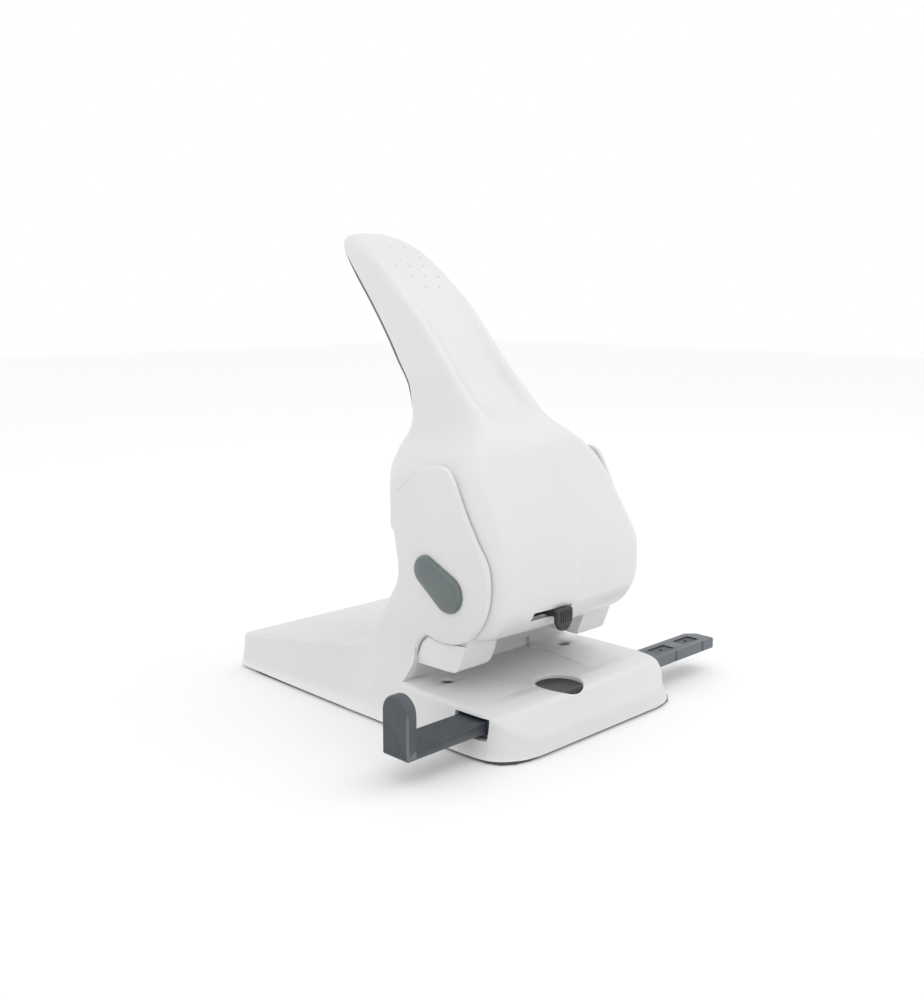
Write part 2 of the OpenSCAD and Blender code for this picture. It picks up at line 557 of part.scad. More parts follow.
module lever_frame() color(steel) difference() {
    union() {
        mirrored() arm();
        translate([-arm_out, -9, 105.4]) cube([2 * arm_out, 12, 2.6]);
        translate([-13, -6, 105]) rotate([tongue_tilt, 0, 0]) translate([0, -1.2, 0]) cube([26, 2.4, 116]);
    }
    for (z = grip_screw_z) grip_axis(z) translate([0, 0, 2]) cylinder(r = 1.9, h = 24);
    // stray edge of the tongue below the cross web
    translate([-20, -20, 100]) cube([40, 30, 5.4]);
}

module press_bar() color(steel) {
    rod_x(0.1 - arm_in, arm_in - 0.1, press_r, press_y, press_z);
    rod_x(-arm_out, arm_out, press_r - 1.02, press_y, press_z);
}

module lever_bushes() color([0.85, 0.84, 0.8]) mirrored() difference() {
    union() {
        rod_x(arm_in - 0.1, arm_out, 5.78, py, pz);
        rod_x(arm_in - 1.5, arm_in - 0.05, 7, py, pz);
    }
    rod_x(40, 50, shaft_r + 0.04, py, pz);
}

module frame_screws() color(steel) for (p = frame_screw_at) mirrored() difference() {
    union() {
        rod_x(arm_in - 0.1, arm_out + 1.6, 1.6, p[0], p[1], 24);
        rod_x(arm_in - 1.9, arm_in - 0.05, 3, p[0], p[1], 24);
    }
    rod_x(arm_in - 3, arm_in - 0.9, 1.3, p[0], p[1], 6);
}

module grip_screws() color(steel) for (z = grip_screw_z) grip_axis(z) difference() {
    union() {
        translate([0, 0, 0.8]) cylinder(r = 3.4, h = 1.7);
        translate([0, 0, 1]) cylinder(r = 1.85, h = tongue_gap(z) + 0.8);
    }
    cylinder(r = 1.4, h = 1.8, $fn = 6);
}

module lock_slider() color(black) {
    // thumb piece with a pointed lower end
    translate([lock_x, 0, 0]) rotate([90, 0, 0]) translate([0, 0, 41.6]) linear_extrude(height = 2.4)
        polygon([[-5, 56.6], [5, 56.6], [5, 50], [2.4, 46.6], [-2.4, 46.6], [-5, 50]]);
    // neck through the slot, and the long plate that keeps the slot dark behind
    translate([lock_x - 4.8, -42, 53]) cube([9.6, 9.4, 3.4]);
    translate([-27.4, -33, 52.4]) cube([36.6, 1.6, 5]);
    // tooth that goes in front of the catch when the handle is locked down
    translate([-14.6, -31.5, 54.4]) cube([5.4, 2.3, 3]);
}

base_shell();
base_plate();
die_plate();
die_supports();
left_upright();
right_upright();
crossbar();
left_bracket();
right_bracket();
bracket_screws();
base_screws();
pivot_shaft();
shaft_clips();
left_side_cap();
right_side_cap();
window_lens();
guide_channel();
guide_detent();
scale_strip();
tray_hinge_pins();
rear_foot();
lock_catch();
left_spring();
right_spring();
head_cover();
grip_insert();
lever_frame();
press_bar();
lever_bushes();
frame_screws();
grip_screws();
left_punch_pin();
left_collar();
right_punch_pin();
right_collar();
lock_slider();
guide_bar();
chip_tray();
tray_feet();
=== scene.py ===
import math
import bpy
import bmesh
import numpy as np
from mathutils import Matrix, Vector


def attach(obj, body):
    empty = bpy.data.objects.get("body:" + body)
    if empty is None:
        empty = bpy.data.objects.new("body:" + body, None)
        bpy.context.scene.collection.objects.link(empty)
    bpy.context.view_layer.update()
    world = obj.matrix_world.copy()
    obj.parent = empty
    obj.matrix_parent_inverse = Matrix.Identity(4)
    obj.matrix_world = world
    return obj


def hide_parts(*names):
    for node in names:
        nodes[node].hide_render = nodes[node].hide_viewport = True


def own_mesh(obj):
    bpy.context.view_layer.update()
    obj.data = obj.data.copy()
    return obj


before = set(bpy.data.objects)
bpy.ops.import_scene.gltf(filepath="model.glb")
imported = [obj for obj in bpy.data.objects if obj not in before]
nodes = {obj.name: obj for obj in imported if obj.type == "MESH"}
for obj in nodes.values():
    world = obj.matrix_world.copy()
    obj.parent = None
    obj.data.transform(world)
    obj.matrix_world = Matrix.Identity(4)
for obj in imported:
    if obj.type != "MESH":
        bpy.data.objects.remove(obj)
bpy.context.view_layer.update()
collection = bpy.context.scene.collection
mm = 0.001
print("frame loaded")


# one socket, so that sums and products of sockets read as plain maths
class Wire:
    def __init__(self, tree, socket):
        self.tree, self.socket = tree, socket

    def maths(self, operation, left, right):
        return self.tree.add("ShaderNodeMath", {"operation": operation}, {0: left, 1: right})

    def __add__(self, other): return self.maths("ADD", self, other)
    def __radd__(self, other): return self.maths("ADD", other, self)
    def __sub__(self, other): return self.maths("SUBTRACT", self, other)
    def __rsub__(self, other): return self.maths("SUBTRACT", other, self)
    def __mul__(self, other): return self.maths("MULTIPLY", self, other)
    def __rmul__(self, other): return self.maths("MULTIPLY", other, self)


# a material with its Principled shader
class Finish:
    def __init__(self, name):
        self.material = bpy.data.materials.new(name)
        self.material.use_nodes = True
        self.nodes = self.material.node_tree.nodes
        self.links = self.material.node_tree.links
        self.shader = self.nodes["Principled BSDF"]

    def put(self, socket, value):
        if isinstance(value, Wire):
            self.links.new(value.socket, socket)
        else:
            socket.default_value = value

    def add(self, kind, settings=None, inputs=None, output=0):
        node = self.nodes.new(kind)
        for key, value in (settings or {}).items():
            if key == "stops":
                ramp = node.color_ramp
                while len(ramp.elements) < len(value):
                    ramp.elements.new(0.5)
                for element, (place, shade) in zip(ramp.elements, value):
                    element.position = place
                    element.color = (*shade, 1) if isinstance(shade, tuple) else (shade, shade, shade, 1)
            else:
                setattr(node, key, value)
        for key, value in (inputs or {}).items():
            self.put(node.inputs[key], value)
        return Wire(self, node.outputs[output])

    def place(self, scale=(1, 1, 1)):
        where = self.add("ShaderNodeTexCoord", output=3)
        return self.add("ShaderNodeMapping", None, {"Vector": where, "Scale": scale})

    def noise(self, scale, detail=3, stretch=(1, 1, 1), rough=0.5):
        return self.add("ShaderNodeTexNoise", None,
                        {"Vector": self.place(stretch), "Scale": scale, "Detail": detail, "Roughness": rough})

    def ramp(self, value, stops):
        return self.add("ShaderNodeValToRGB", {"stops": stops}, {"Fac": value})

    def blend(self, factor, first, second):
        return self.add("ShaderNodeMix", {"data_type": "RGBA"}, {0: factor, 6: first, 7: second}, output=2)

    def bump(self, height, strength, distance):
        normal = self.add("ShaderNodeBump", None,
                          {"Height": height, "Strength": strength, "Distance": distance})
        self.put(self.shader.inputs["Normal"], normal)

    # mask of sharp convex edges from pointiness; the materials use it to paint a highlight along edges
    def edges(self, low=0.505, high=0.56):
        pointiness = self.add("ShaderNodeNewGeometry", output=7)
        return self.add("ShaderNodeMapRange", {"clamp": True},
                        {"Value": pointiness, "From Min": low, "From Max": high})

    def finish(self, color, rough, **constants):
        self.put(self.shader.inputs["Base Color"], color)
        self.put(self.shader.inputs["Roughness"], rough)
        for key, value in constants.items():
            self.shader.inputs[key.replace("_", " ")].default_value = value
        return self.material


def rgba(r, g, b):
    return (r, g, b, 1)


# moulded plastic: fine grain, faint flow marks, a painted highlight along convex edges, a little dust
def mouldedPlastic(name, look):
    f = Finish(name)
    flow = f.noise(look["flowScale"], 4, (1, 1, 0.5))
    grain = f.noise(look["grainScale"], 2)
    dust = f.ramp(f.noise(90, 5, rough=0.65), [(0.46, 0.0), (0.72, 1.0)])
    body = f.blend(flow, rgba(*look["shade"]), rgba(*look["light"]))
    # convex edges lightened: painted highlight along the edges
    color = f.blend(f.edges() * look["edge"], body, rgba(*look["edgeHighlightColor"]))
    color = f.blend(dust * look["dust"], color, rgba(*look["dustColor"]))
    rough = look["rough"] + flow * look["roughSpread"] + dust * look["dust"] * 0.3
    f.bump(grain + flow * 0.3, look["bump"], look["bumpDepth"])
    return f.finish(color, rough, Specular_IOR_Level=look["specular"], Coat_Weight=look["coat"],
                    Coat_Roughness=look["coatRough"], IOR=1.5)


# plated or ground metal: brushed streaks, stains, a painted highlight on edges
def metal(name, look):
    f = Finish(name)
    streak = f.noise(look["streakScale"], 5, look["along"], 0.6)
    stain = f.noise(60, 4)
    body = f.blend(streak, rgba(*look["shade"]), rgba(*look["light"]))
    # convex edges lightened: painted highlight along the edges
    color = f.blend(f.edges() * 0.6, body, rgba(*look["edgeHighlightColor"]))
    rough = look["rough"] + streak * look["roughSpread"] + stain * 0.1
    f.bump(streak, look["bump"], 0.0002)
    return f.finish(color, rough, Metallic=1.0)


# edge is the strength of the painted highlight along edges
white = {"shade": (0.68, 0.68, 0.675), "light": (0.73, 0.73, 0.725), "flowScale": 22, "grainScale": 2600,
         "edge": 0.35, "edgeHighlightColor": (0.93, 0.93, 0.93), "dust": 0.03, "dustColor": (0.62, 0.6, 0.57),
         "rough": 0.33, "roughSpread": 0.1, "bump": 0.06, "bumpDepth": 0.0002, "specular": 0.45,
         "coat": 0.0, "coatRough": 0.2}
materials = {
    "baseWhite": mouldedPlastic("baseWhite", {**white, "rough": 0.36}),
    "coverWhite": mouldedPlastic("coverWhite", {**white, "shade": (0.695, 0.695, 0.69), "rough": 0.26,
                                                "coat": 0.15}),
    "bracketWhite": mouldedPlastic("bracketWhite", {**white, "shade": (0.64, 0.64, 0.635),
                                                    "light": (0.69, 0.69, 0.685)}),
    "slateGloss": mouldedPlastic("slateGloss", {
        **white, "shade": (0.085, 0.11, 0.11), "light": (0.105, 0.13, 0.13), "edge": 0.5,
        "edgeHighlightColor": (0.2, 0.23, 0.23), "rough": 0.12, "roughSpread": 0.08, "coat": 0.7, "coatRough": 0.06,
        "bump": 0.02, "dustColor": (0.4, 0.42, 0.42)}),
    "gripGrey": mouldedPlastic("gripGrey", {
        **white, "shade": (0.075, 0.09, 0.09), "light": (0.1, 0.115, 0.115), "edge": 0.3,
        "edgeHighlightColor": (0.18, 0.2, 0.2), "rough": 0.55, "roughSpread": 0.12, "bump": 0.35, "grainScale": 1500,
        "dust": 0.12, "dustColor": (0.3, 0.3, 0.3)}),
    "guideGrey": mouldedPlastic("guideGrey", {
        **white, "shade": (0.03, 0.039, 0.048), "light": (0.042, 0.052, 0.061), "edge": 0.6,
        "edgeHighlightColor": (0.19, 0.21, 0.23), "rough": 0.36, "roughSpread": 0.1, "bump": 0.14, "grainScale": 1900,
        "dust": 0.05, "dustColor": (0.35, 0.36, 0.37)}),
    "darkPlastic": mouldedPlastic("darkPlastic", {
        **white, "shade": (0.018, 0.018, 0.02), "light": (0.03, 0.03, 0.033), "edge": 0.5,
        "edgeHighlightColor": (0.09, 0.09, 0.1), "rough": 0.38, "roughSpread": 0.12, "bump": 0.12, "grainScale": 1800,
        "dust": 0.08, "dustColor": (0.25, 0.25, 0.25)}),
    "footRubber": mouldedPlastic("footRubber", {
        **white, "shade": (0.015, 0.015, 0.016), "light": (0.028, 0.028, 0.03), "edge": 0.4,
        "edgeHighlightColor": (0.07, 0.07, 0.07), "rough": 0.72, "roughSpread": 0.15, "bump": 0.4, "grainScale": 1100,
        "dust": 0.25, "dustColor": (0.2, 0.19, 0.18)}),
    "nylon": mouldedPlastic("nylon", {
        **white, "shade": (0.68, 0.66, 0.6), "light": (0.76, 0.74, 0.68), "rough": 0.4}),
    "zincSteel": metal("zincSteel", {
        "shade": (0.44, 0.45, 0.47), "light": (0.62, 0.63, 0.65), "edgeHighlightColor": (0.8, 0.8, 0.8), "rough": 0.3,
        "roughSpread": 0.2, "streakScale": 160, "along": (1, 1, 1), "bump": 0.08}),
    "groundSteel": metal("groundSteel", {
        "shade": (0.5, 0.5, 0.52), "light": (0.7, 0.7, 0.72), "edgeHighlightColor": (0.85, 0.85, 0.85), "rough": 0.2,
        "roughSpread": 0.16, "streakScale": 500, "along": (1, 1, 0.04), "bump": 0.12}),
    "springSteel": metal("springSteel", {
        "shade": (0.3, 0.3, 0.32), "light": (0.5, 0.5, 0.52), "edgeHighlightColor": (0.6, 0.6, 0.6), "rough": 0.28,
        "roughSpread": 0.15, "streakScale": 300, "along": (1, 1, 6), "bump": 0.06}),
}


# dark red card with plain pale rules across it
def maroonScale(name):
    f = Finish(name)
    where = f.place((1, 1, 1))
    x = f.add("ShaderNodeSeparateXYZ", None, {0: where})
    rules = f.add("ShaderNodeMath", {"operation": "PINGPONG"}, {0: x, 1: 0.002})
    lines = f.add("ShaderNodeMath", {"operation": "LESS_THAN"}, {0: rules, 1: 0.00018})
    fibre = f.noise(700, 4)
    body = f.blend(fibre, rgba(0.085, 0.02, 0.03), rgba(0.13, 0.035, 0.05))
    f.bump(fibre, 0.2, 0.0002)
    return f.finish(f.blend(lines * 0.55, body, rgba(0.5, 0.42, 0.4)), 0.5 + fibre * 0.2)


# thin clear plastic with a little haze
def clearWindow(name):
    f = Finish(name)
    haze = f.noise(120, 4)
    f.put(f.shader.inputs["Alpha"], 0.05 + haze * 0.04)
    return f.finish(f.blend(haze, rgba(0.5, 0.46, 0.48), rgba(0.6, 0.56, 0.58)), 0.05 + haze * 0.06,
                    Specular_IOR_Level=0.5, Coat_Weight=0.3)


materials["maroonScale"] = maroonScale("maroonScale")
materials["clearWindow"] = clearWindow("clearWindow")
print("materials made:", len(materials))


def meshObject(name, points, faces):
    mesh = bpy.data.meshes.new(name)
    mesh.from_pydata([Vector(p) * mm for p in points], [], faces)
    mesh.validate()
    item = bpy.data.objects.new(name, mesh)
    collection.objects.link(item)
    return item


def loft(name, rings):
    count = len(rings[0])
    faces = []
    for j in range(len(rings) - 1):
        low, high = j * count, (j + 1) * count
        faces += [[low + i, low + (i + 1) % count, high + (i + 1) % count, high + i] for i in range(count)]
    faces += [list(range(count))[::-1], [(len(rings) - 1) * count + i for i in range(count)]]
    item = meshObject(name, [p for ring in rings for p in ring], faces)
    outward(item)
    return item


# faces all look away from the solid
def outward(item):
    body = bmesh.new()
    body.from_mesh(item.data)
    bmesh.ops.recalc_face_normals(body, faces=body.faces)
    body.to_mesh(item.data)
    body.free()


# the modifiers become the mesh
def bake(item):
    shape = item.evaluated_get(bpy.context.evaluated_depsgraph_get())
    mesh = bpy.data.meshes.new_from_object(shape)
    item.modifiers.clear()
    old = item.data
    item.data = mesh
    bpy.data.meshes.remove(old)


def combine(item, others, operation):
    for other in others:
        tool = item.modifiers.new(operation, "BOOLEAN")
        tool.operation, tool.solver, tool.object = operation, "EXACT", other
        bake(item)
        bpy.data.objects.remove(other)
    return item


def join(item, *others): return combine(item, others, "UNION")
def cut(item, *others): return combine(item, others, "DIFFERENCE")


# row of a table at any place, on a smooth curve through its values
def smoothRow(rows, at):
    table = np.array(rows, float)
    x = table[:, 0]
    at = min(max(at, x[0]), x[-1])
    k = min(max(int(np.searchsorted(x, at)) - 1, 0), len(x) - 2)
    span = x[k + 1] - x[k]
    slopes = (table[1:] - table[:-1]) / (x[1:] - x[:-1])[:, None]

    def tangent(i):
        if i == 0 or i == len(x) - 1:
            return slopes[0 if i == 0 else -1]
        a, b = slopes[i - 1], slopes[i]
        return np.where(a * b > 0, 2 * a * b / (np.abs(a + b) + 1e-9) * np.sign(a + b), 0)

    t = (at - x[k]) / span
    return ((2 * t**3 - 3 * t**2 + 1) * table[k] + (t**3 - 2 * t**2 + t) * span * tangent(k)
            + (3 * t**2 - 2 * t**3) * table[k + 1] + (t**3 - t**2) * span * tangent(k + 1))


# closed outline smoothed through its points, except at those kept sharp
def roundPath(corners, step=1.2, keep=()):
    n, path = len(corners), []
    for i in range(n):
        a, b, c, d = (np.array(corners[(i + k) % n], float) for k in (-1, 0, 1, 2))
        count = max(1, int(np.linalg.norm(c - b) / step))
        left = (c - a) / 2 if i not in keep else c - b
        right = (d - b) / 2 if (i + 1) % n not in keep else c - b
        size = np.linalg.norm(c - b)
        left, right = (v * size / (np.linalg.norm(v) + 1e-9) for v in (left, right))
        for j in range(count):
            t = j / count
            path.append((2 * t**3 - 3 * t**2 + 1) * b + (t**3 - 2 * t**2 + t) * left
                        + (3 * t**2 - 2 * t**3) * c + (t**3 - t**2) * right)
    return path


# outline moved inwards along its own normals
def shrink(path, amount):
    p = np.array(path)
    along = np.roll(p, -1, 0) - np.roll(p, 1, 0)
    along /= np.linalg.norm(along, axis=1)[:, None] + 1e-12
    area = 0.5 * np.sum(p[:, 0] * np.roll(p[:, 1], -1) - np.roll(p[:, 0], -1) * p[:, 1])
    inwards = np.stack([-along[:, 1], along[:, 0]], 1) * np.sign(area)
    return p + inwards * amount


# outline made solid along one axis, with its rims rounded
def plate(name, outline, start, end, inner=0.0, outer=0.0, dome=0.0, steps=5, facing=0):
    way = 1 if end > start else -1
    layers = [(start, 0.0), (end, 0.0)]
    if inner:
        quarter = [math.pi / 2 * i / steps for i in range(steps + 1)]
        layers = [(start + way * inner * (1 - math.sin(t)), inner * (1 - math.cos(t)))
                  for t in reversed(quarter)] + layers[1:]
        layers = sorted(layers[:-1], key=lambda v: way * v[0]) + layers[-1:]
    if outer:
        quarter = [math.pi / 2 * i / steps for i in range(steps + 1)]
        layers = layers[:-1] + [(end - way * outer * (1 - math.sin(t)), outer * (1 - math.cos(t)))
                                for t in quarter]
    for k in range(1, 5 if dome else 1):
        layers.append((end + way * dome * (1 - (1 - k / 4) ** 2), outer + 1.1 * k))
    rings = []
    for depth, inset in layers:
        ring = []
        for u, v in shrink(outline, inset):
            ring.append([(depth, u, v), (u, depth, v), (u, v, depth)][facing])
        rings.append(ring)
    return loft(name, rings)


# box with the four edges along one axis rounded
def block(name, low, high, radius=0.0, axis=2, steps=4):
    a, b = [i for i in range(3) if i != axis]
    path = []
    radius = max(radius, 0.001)
    for k, (sx, sy) in enumerate([(1, 1), (-1, 1), (-1, -1), (1, -1)]):
        cx = (high[a] - radius) if sx > 0 else (low[a] + radius)
        cy = (high[b] - radius) if sy > 0 else (low[b] + radius)
        for i in range(steps + 1):
            t = math.pi / 2 * (k + i / steps)
            path.append((cx + radius * math.cos(t), cy + radius * math.sin(t)))
    rings = []
    for level in (low[axis], high[axis]):
        ring = []
        for u, v in path:
            p = [0, 0, 0]
            p[a], p[b], p[axis] = u, v, level
            ring.append(tuple(p))
        rings.append(ring)
    return loft(name, rings)


# solid of revolution: profile is [radius, height], place is its foot
def turned(name, profile, place, axis=2, segments=64):
    rings = []
    for radius, height in profile:
        ring = []
        for i in range(segments):
            t = 2 * math.pi * i / segments
            u, v = radius * math.cos(t), radius * math.sin(t)
            p = [(height, u, v), (v, height, u), (u, v, height)][axis]
            ring.append(tuple(np.array(p) + place))
        rings.append(ring)
    return loft(name, rings)


def shade(item, degrees=32):
    mesh = item.data
    mesh.polygons.foreach_set("use_smooth", [True] * len(mesh.polygons))
    mesh.set_sharp_from_angle(angle=math.radians(degrees))
    mesh.update()


# material, body and replaced nodes of a piece; the slot argument is not used
def dress(item, body, material, slot, *stands):
    item.data.materials.clear()
    item.data.materials.append(materials[material])
    for polygon in item.data.polygons:
        polygon.material_index = 0
    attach(item, body)
    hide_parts(*stands)


base = {
    "halfWidth": 63, "foot": 1.4, "wall": 2.4, "edge": 2.4,
    "throat": [(-5, 20.01), (12.9, 20.01), (9, 28.6), (9, 60), (-5, 60)],
    "cheekInside": 49, "cheekOutside": 51.7, "cheekEdge": 1.3, "panelDepth": 0.9,
    "window": (-5.3, -36.3), "windowRadius": 11.05, "dieHole": 3.3, "slotLow": 8.4, "slotTop": 17.7,
}
w = base["halfWidth"]
# [place along Y, half width at the foot, half width of the top, height]
platformRows = [
    [-57.5, w - 22, w - 28, 9.4], [-56.3, w - 15, w - 20.5, 10.3], [-54.1, w - 10, w - 14.8, 11.6],
    [-51.5, w - 6.2, w - 10.6, 13.6], [-48.5, w - 3.4, w - 7.6, 16.3],
    [-44.5, w - 1.5, w - 5.4, 18.6], [-38.5, w - 0.4, w - 4.5, 19.6], [-30, w, w - 4.2, 19.95],
    [-18, w + 0.2, w - 4.2, 20], [0, w + 0.3, w - 4.6, 20], [18, w + 0.3, w - 8, 20]]
deckRows = [
    [5, w + 0.3, 51.7, 40], [33, w + 0.3, 51.5, 40], [37, w + 0.3, 50.4, 38.4],
    [42, w + 0.3, 48.6, 34.8], [48, w + 0.2, 46.8, 31], [55, w + 0.1, 45.8, 27.8],
    [63, w, 45.8, 25.4], [73, w - 0.1, 46.8, 23.7], [86, w - 0.3, 49.6, 22.2],
    [100, w - 0.6, 53, 21.1], [114, w - 0.9, 56.6, 20], [124, w - 1.1, 58.8, 19.1],
    [130.5, w - 1.4, 59.4, 18.4], [133.1, w - 2, 58.9, 17.7], [134.5, w - 3.6, 57, 16]]
cheekOutline = [
    (13.3, 18), (12.9, 20), (9, 28.6), (9, 33), (6.6, 39), (1.9, 42.9), (-3.6, 41.8), (-10, 41.6),
    (-16.8, 42.6), (-23.5, 45.4), (-29.5, 51), (-33.6, 57.6), (-35.8, 65.4), (-36.1, 73),
    (-34.6, 80.5), (-28.8, 89.2), (-22.8, 98.8), (-18.1, 107.4), (-14.5, 114.4), (-11.6, 118),
    (-8.1, 119.5), (-2.4, 119.4), (3.5, 117.8), (11.8, 111.7), (18.9, 106.5), (22.3, 103.7),
    (23.5, 101.1), (23.7, 96.7), (23.3, 88.7), (22.1, 80.6), (20.8, 74.5), (20.5, 68.9),
    (21.9, 63.3), (25.3, 57.7), (30, 50.3), (35.1, 43.6), (38.6, 39.4), (40, 34), (40, 16),
    (13.3, 16)]
panelOutline = [
    (-28, 13), (28, 13), (24.6, 8.6), (26, 2.6), (26, -5.1), (21.3, -25.9), (18.1, -41.1),
    (16, -48), (-16, -48), (-18.1, -41.1), (-21.3, -25.9), (-26, -5.1), (-26, 2.6), (-24.6, 8.6)]


# section of the base across its width
def baseRing(y, foot, top, low, height, edge):
    edge = min(edge, (height - low) / 3)
    half = [(top + (foot - top) * (1 - t) ** 1.5, low + (height - edge - low) * t)
            for t in np.linspace(0, 1, 8)]
    half += [(top - edge + edge * math.cos(t), height - edge + edge * math.sin(t))
             for t in np.linspace(0, math.pi / 2, 7)[1:]]
    return [(-x, y, z) for x, z in half] + [(x, y, z) for x, z in half[::-1]]


def baseBody(name, rows, places, inset=0.0, low=None, lid=None):
    rings = []
    for y in places:
        r = smoothRow(rows, y)
        height = r[3] - inset if lid is None else lid(y, r[3])
        rings.append(baseRing(y, r[1] - inset, r[2] - inset, base["foot"] if low is None else low, height,
                              base["edge"]))
    return loft(name, rings)


def makeBaseShell():
    places = np.concatenate([np.linspace(-57.5, -52, 16), np.linspace(-51.4, -36, 18),
                             np.linspace(-34, 14, 18)])
    shell = baseBody("baseShell", platformRows, places)
    places = np.concatenate([np.linspace(5, 31, 12), np.linspace(32, 66, 28), np.linspace(68, 130, 32),
                             np.linspace(130.6, 134.5, 8)])
    deck = baseBody("deck", deckRows, places)
    cut(deck, plate("throatCut", base["throat"], -80, 80))
    path = roundPath(cheekOutline, 1.1, keep={0, 1, 2, len(cheekOutline) - 3, len(cheekOutline) - 2,
                                              len(cheekOutline) - 1})
    cheeks = [plate("cheek", path, side * base["cheekInside"], side * base["cheekOutside"], 0.7,
                    base["cheekEdge"]) for side in (-1, 1)]
    join(shell, deck, *cheeks)
    hollowFront = baseBody("hollowFront", platformRows, np.linspace(-54.6, 12, 40), base["wall"], -1,
                           lambda y, top: min(top - 2.2, 17.8))
    hollowRear = baseBody("hollowRear", deckRows, np.linspace(16, 132, 60), base["wall"], -1,
                          lambda y, top: top - 2.4)
    hollowMiddle = block("hollowMiddle", (-53.6, 9, -1), (53.6, 17, 17.8), 2, axis=1)
    cut(shell, hollowFront, hollowRear, hollowMiddle)
    x, y = base["window"]
    r = base["windowRadius"]
    window = turned("windowCut", [(r, 10), (r, 19.2), (r + 0.25, 19.65), (r + 0.9, 20.05), (r + 0.9, 22)],
                    (x, y, 0), segments=96)
    h = base["dieHole"]
    dies = [turned("dieCut", [(h, 14), (h, 19.5), (h + 0.2, 19.8), (h + 0.7, 20.1), (h + 0.7, 21)],
                   (side * 40, 0, 0)) for side in (-1, 1)]
    slot = block("guideSlot", (-70, -43.4, base["slotLow"]), (70, -24.2, base["slotTop"]), 0.8, axis=0)
    seat = block("dieSeat", (-56, -9.2, 5), (56, 9.2, 18.5), 0.2, axis=0)
    path = roundPath(panelOutline, 1.5, keep={0, 1, 7, 8})
    depth = base["panelDepth"]
    floor = [(u, v, 20 - depth * (0.15 + 0.85 * min(1, max(0, (v + 47) / 60)))) for u, v in path]
    rim = [(u, v, 20.02) for u, v in shrink(path, -0.5)]
    roof = [(u, v, 24) for u, v in shrink(path, -0.5)]
    panel = loft("panelCut", [floor, rim, roof])
    cut(shell, panel, window, *dies, slot, seat)
    shade(shell, 34)
    dress(shell, "frame", "baseWhite", "white_shell", "base_shell")
    print("base shell", len(shell.data.polygons))


makeBaseShell()


cap = {"low": (-12.8, 64.7), "lowRadius": 8.6, "high": (1.2, 73), "highRadius": 6.8, "start": 51.55,
       "face": 53.8, "bevel": 1.6, "dome": 0.4}


# outline around a larger and a smaller circle
def lobes(low, lowRadius, high, highRadius, steps=26):
    dy, dz = high[0] - low[0], high[1] - low[1]
    a, b = math.atan2(dz, dy), math.acos((lowRadius - highRadius) / math.hypot(dy, dz))
    path = [(low[0] + lowRadius * math.cos(t), low[1] + lowRadius * math.sin(t))
            for t in np.linspace(a + b, a - b + 2 * math.pi, steps)]
    return path + [(high[0] + highRadius * math.cos(t), high[1] + highRadius * math.sin(t))
                   for t in np.linspace(a - b, a + b, steps)]


def makeSideCap(side, word):
    path = lobes(cap["low"], cap["lowRadius"], cap["high"], cap["highRadius"])
    item = plate(word + "SideCap", path, side * cap["start"], side * cap["face"], 0, cap["bevel"],
                 cap["dome"])
    shade(item, 40)
    dress(item, "frame", "slateGloss", "slate_gloss", word + "_side_cap")


makeSideCap(-1, "left")
makeSideCap(1, "right")


head = {
    "wall": 2.6, "scoop": 2.6, "rimSharp": 0.6, "crease": 0.8, "creaseAt": -3.0,
    "slot": (-27, -3, 52.6, 56.8), "seatFrom": 133.5, "rib": 0.22, "dot": 0.95, "dotCentre": (4, 205),
    "dotPitch": (8.8, 4.9), "pivot": (0, -16, 65), "shaftHole": 4.3,
    "rearCut": [(-28.5, 40), (-28.5, 46.4), (-15, 46.6), (-13, 48.8), (-7, 51.6), (-1, 58), (2.4, 66.6),
                (12, 74.6), (34, 93), (60, 93), (60, 40)],
}
# [height, front, back, half width, front corner, back corner, bow]
headRows = [
    [45.6, -29.6, 30, 47.6, 7, 3, -1.6], [47, -31.4, 30, 48.4, 7, 3, -1.8],
    [50, -34.6, 30, 48.6, 7, 3, -2], [54, -37.6, 30, 48.6, 7.5, 3, -2.1],
    [60, -40.6, 30, 48.6, 8, 3, -2.2], [67, -42, 30, 48.6, 8.5, 3, -2.2],
    [75, -42.2, 30, 48.6, 9, 3, -2.2], [81, -41, 30, 48.6, 9.5, 3, -2.2],
    [88, -37.6, 30.2, 48.6, 10, 3, -2.2], [96, -32.6, 30.8, 48.6, 10.5, 4, -2.1],
    [104, -27.4, 31.6, 48.6, 11, 5, -2], [111, -22.8, 32.6, 48.5, 12, 7, -1.8],
    [116, -19.8, 33.6, 47.6, 13, 9, -1.4], [120, -17.4, 34.6, 45.4, 14, 11, -1],
    [124, -15, 36, 42, 14, 12, -0.5], [128, -11.8, 37.4, 36.6, 13, 12, 0],
    [132, -7.4, 39, 31.4, 11, 10, 0.5], [137, -1.6, 41.4, 27, 9, 8, 0.9],
    [143, 4.4, 44.6, 24.4, 8, 7, 1.2], [151, 12.4, 48.6, 23, 7, 6.5, 1.3],
    [160, 20.8, 55.6, 22.4, 7, 6.5, 1.3], [170, 29.8, 62.4, 22.2, 7, 6.5, 1.2],
    [180, 38.8, 69.6, 22.2, 7, 6.5, 1.1], [190, 49, 77.4, 22.2, 7, 6.5, 1],
    [199, 59.2, 84.8, 22.2, 7, 6.5, 0.8], [206, 68, 90.6, 22, 7, 7, 0.6],
    [211, 75.2, 94.8, 21.2, 7, 7, 0.3], [215, 81.4, 98.4, 19.6, 7, 7, 0.1],
    [218, 87, 100.8, 17, 6.6, 6.6, 0], [220.2, 92, 101.6, 13, 4.6, 4.6, 0],
    [221.4, 95.6, 100.4, 7.4, 2.2, 2.2, 0]]
# [height, depth of the grip insert]
gripDepths = [
    [133.5, 1], [142, 3.6], [152, 5], [168, 5.6], [200, 5.6], [210, 4.2], [214.5, 2.4]]


def ease(value, low, high):
    t = min(1, max(0, (value - low) / (high - low)))
    return t * t * (3 - 2 * t)


